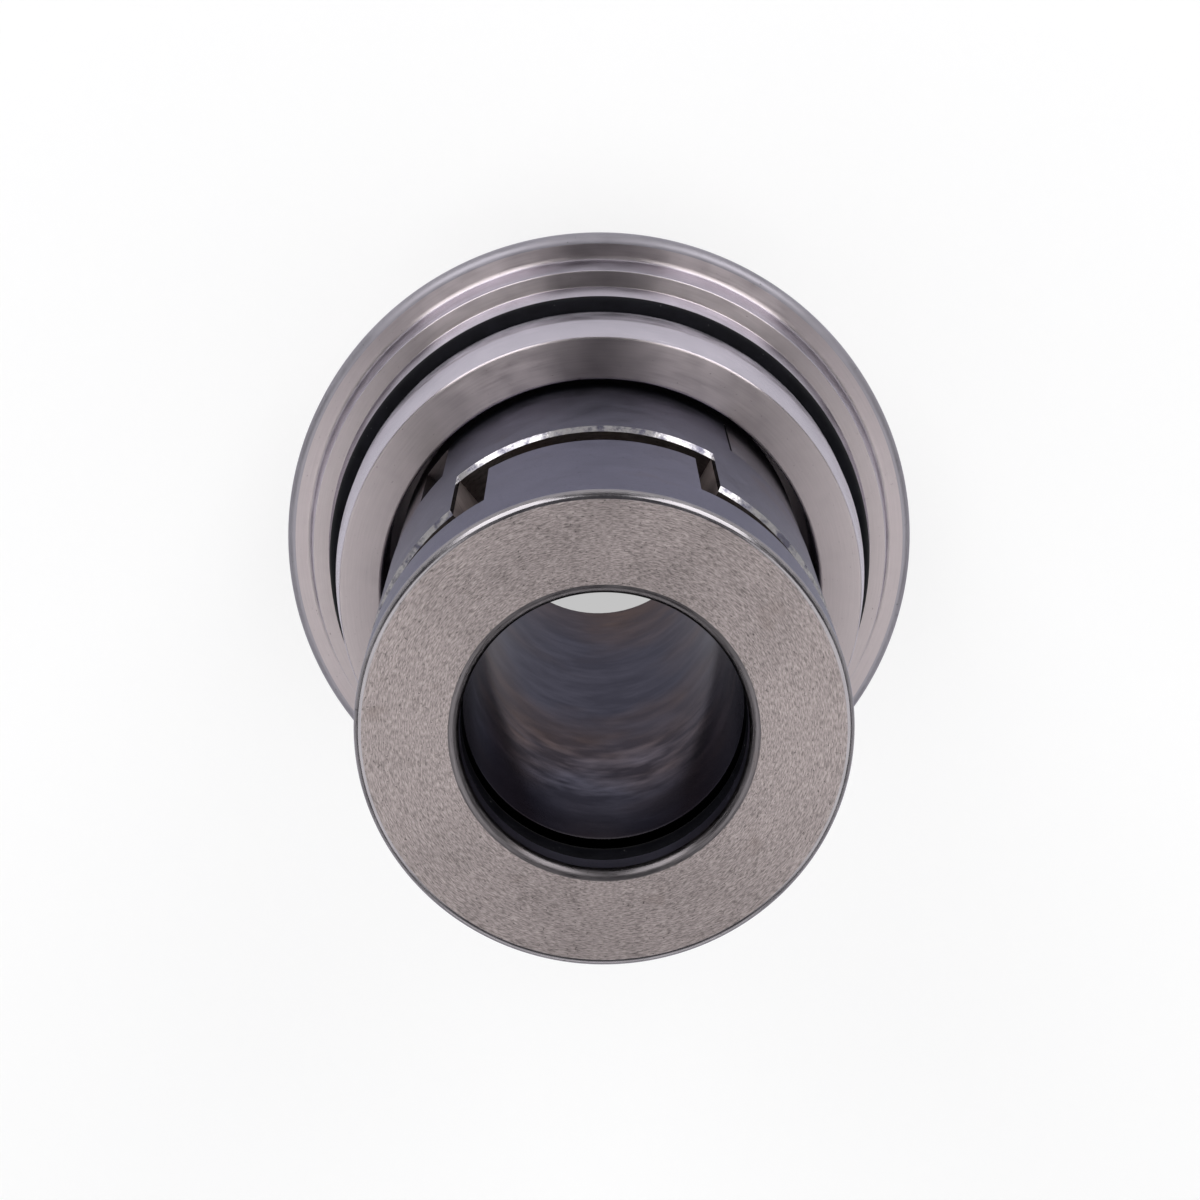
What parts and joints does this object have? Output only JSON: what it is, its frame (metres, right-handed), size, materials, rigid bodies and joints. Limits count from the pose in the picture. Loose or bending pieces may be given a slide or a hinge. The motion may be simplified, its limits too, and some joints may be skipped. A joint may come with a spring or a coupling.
{
  "type": "cartridge mechanical seal",
  "caption": "Cartridge shaft seal with a flanged carrier, sprung lapped faces driven through a castellated coupling ring, and a clamp collar at its dry end.",
  "frame": {"origin": "on the shaft axis at the dry-end face of the clamp collar, which the part stands on", "axes": "+Z along the shaft axis to the wet end, +Y towards the middle of one drive tongue within a few degrees"},
  "size_m": [0.0606, 0.0606, 0.071],
  "materials": {
    "ground_steel": "ground flat on the wet-end face, fine turned elsewhere",
    "turned_steel": "fine turned, softly polished",
    "coupling_steel": "fine turned with broken edges",
    "holder_steel": "darker turned steel",
    "sleeve_steel": "polished bore",
    "spring_steel": "drawn wire",
    "screw_steel": "plain stainless",
    "black_rubber": "smooth moulded rubber",
    "silicon_carbide": "lapped silicon carbide"
  },
  "bodies": {
    "sleeve_unit": {"drive_ring": "ground_steel", "shaft_sleeve": "sleeve_steel", "shaft_o_ring": "black_rubber", "clamp_collar": "turned_steel", "retaining_ring": "spring_steel", "set_screw_1": "screw_steel", "set_screw_2": "screw_steel", "set_screw_3": "screw_steel", "compression_spring": "spring_steel"},
    "coupling_unit": {"coupling_ring": "coupling_steel"},
    "face_unit": {"face_holder": "holder_steel", "rotary_face": "silicon_carbide", "rotary_face_o_ring": "black_rubber", "thrust_washer": "spring_steel", "face_pin_1": "screw_steel", "face_pin_2": "screw_steel"},
    "carrier_unit": {"seal_carrier": "turned_steel", "carrier_o_ring": "black_rubber", "seat_ring": "silicon_carbide", "seat_o_ring": "black_rubber", "seat_pin_1": "screw_steel", "seat_pin_2": "screw_steel"}
  },
  "joints": [
    {"name": "spring_travel", "type": "slide", "parent": "sleeve_unit", "child": "coupling_unit", "axis": [0, 0, 1], "range_m": [0, 0.004], "stiffness_N_per_m": 1100, "springref_m": -0.02, "deforming": ["compression_spring"]},
    {"name": "coupling_play", "type": "hinge", "parent": "coupling_unit", "child": "face_unit", "pos_m": [0, 0, 0.0355], "axis": [0, 0, 1], "range_deg": [-9.5, 0]},
    {"name": "shaft_spin", "type": "hinge", "parent": "face_unit", "child": "carrier_unit", "pos_m": [0, 0, 0.0207], "axis": [0, 0, 1], "continuous": true}
  ]
}
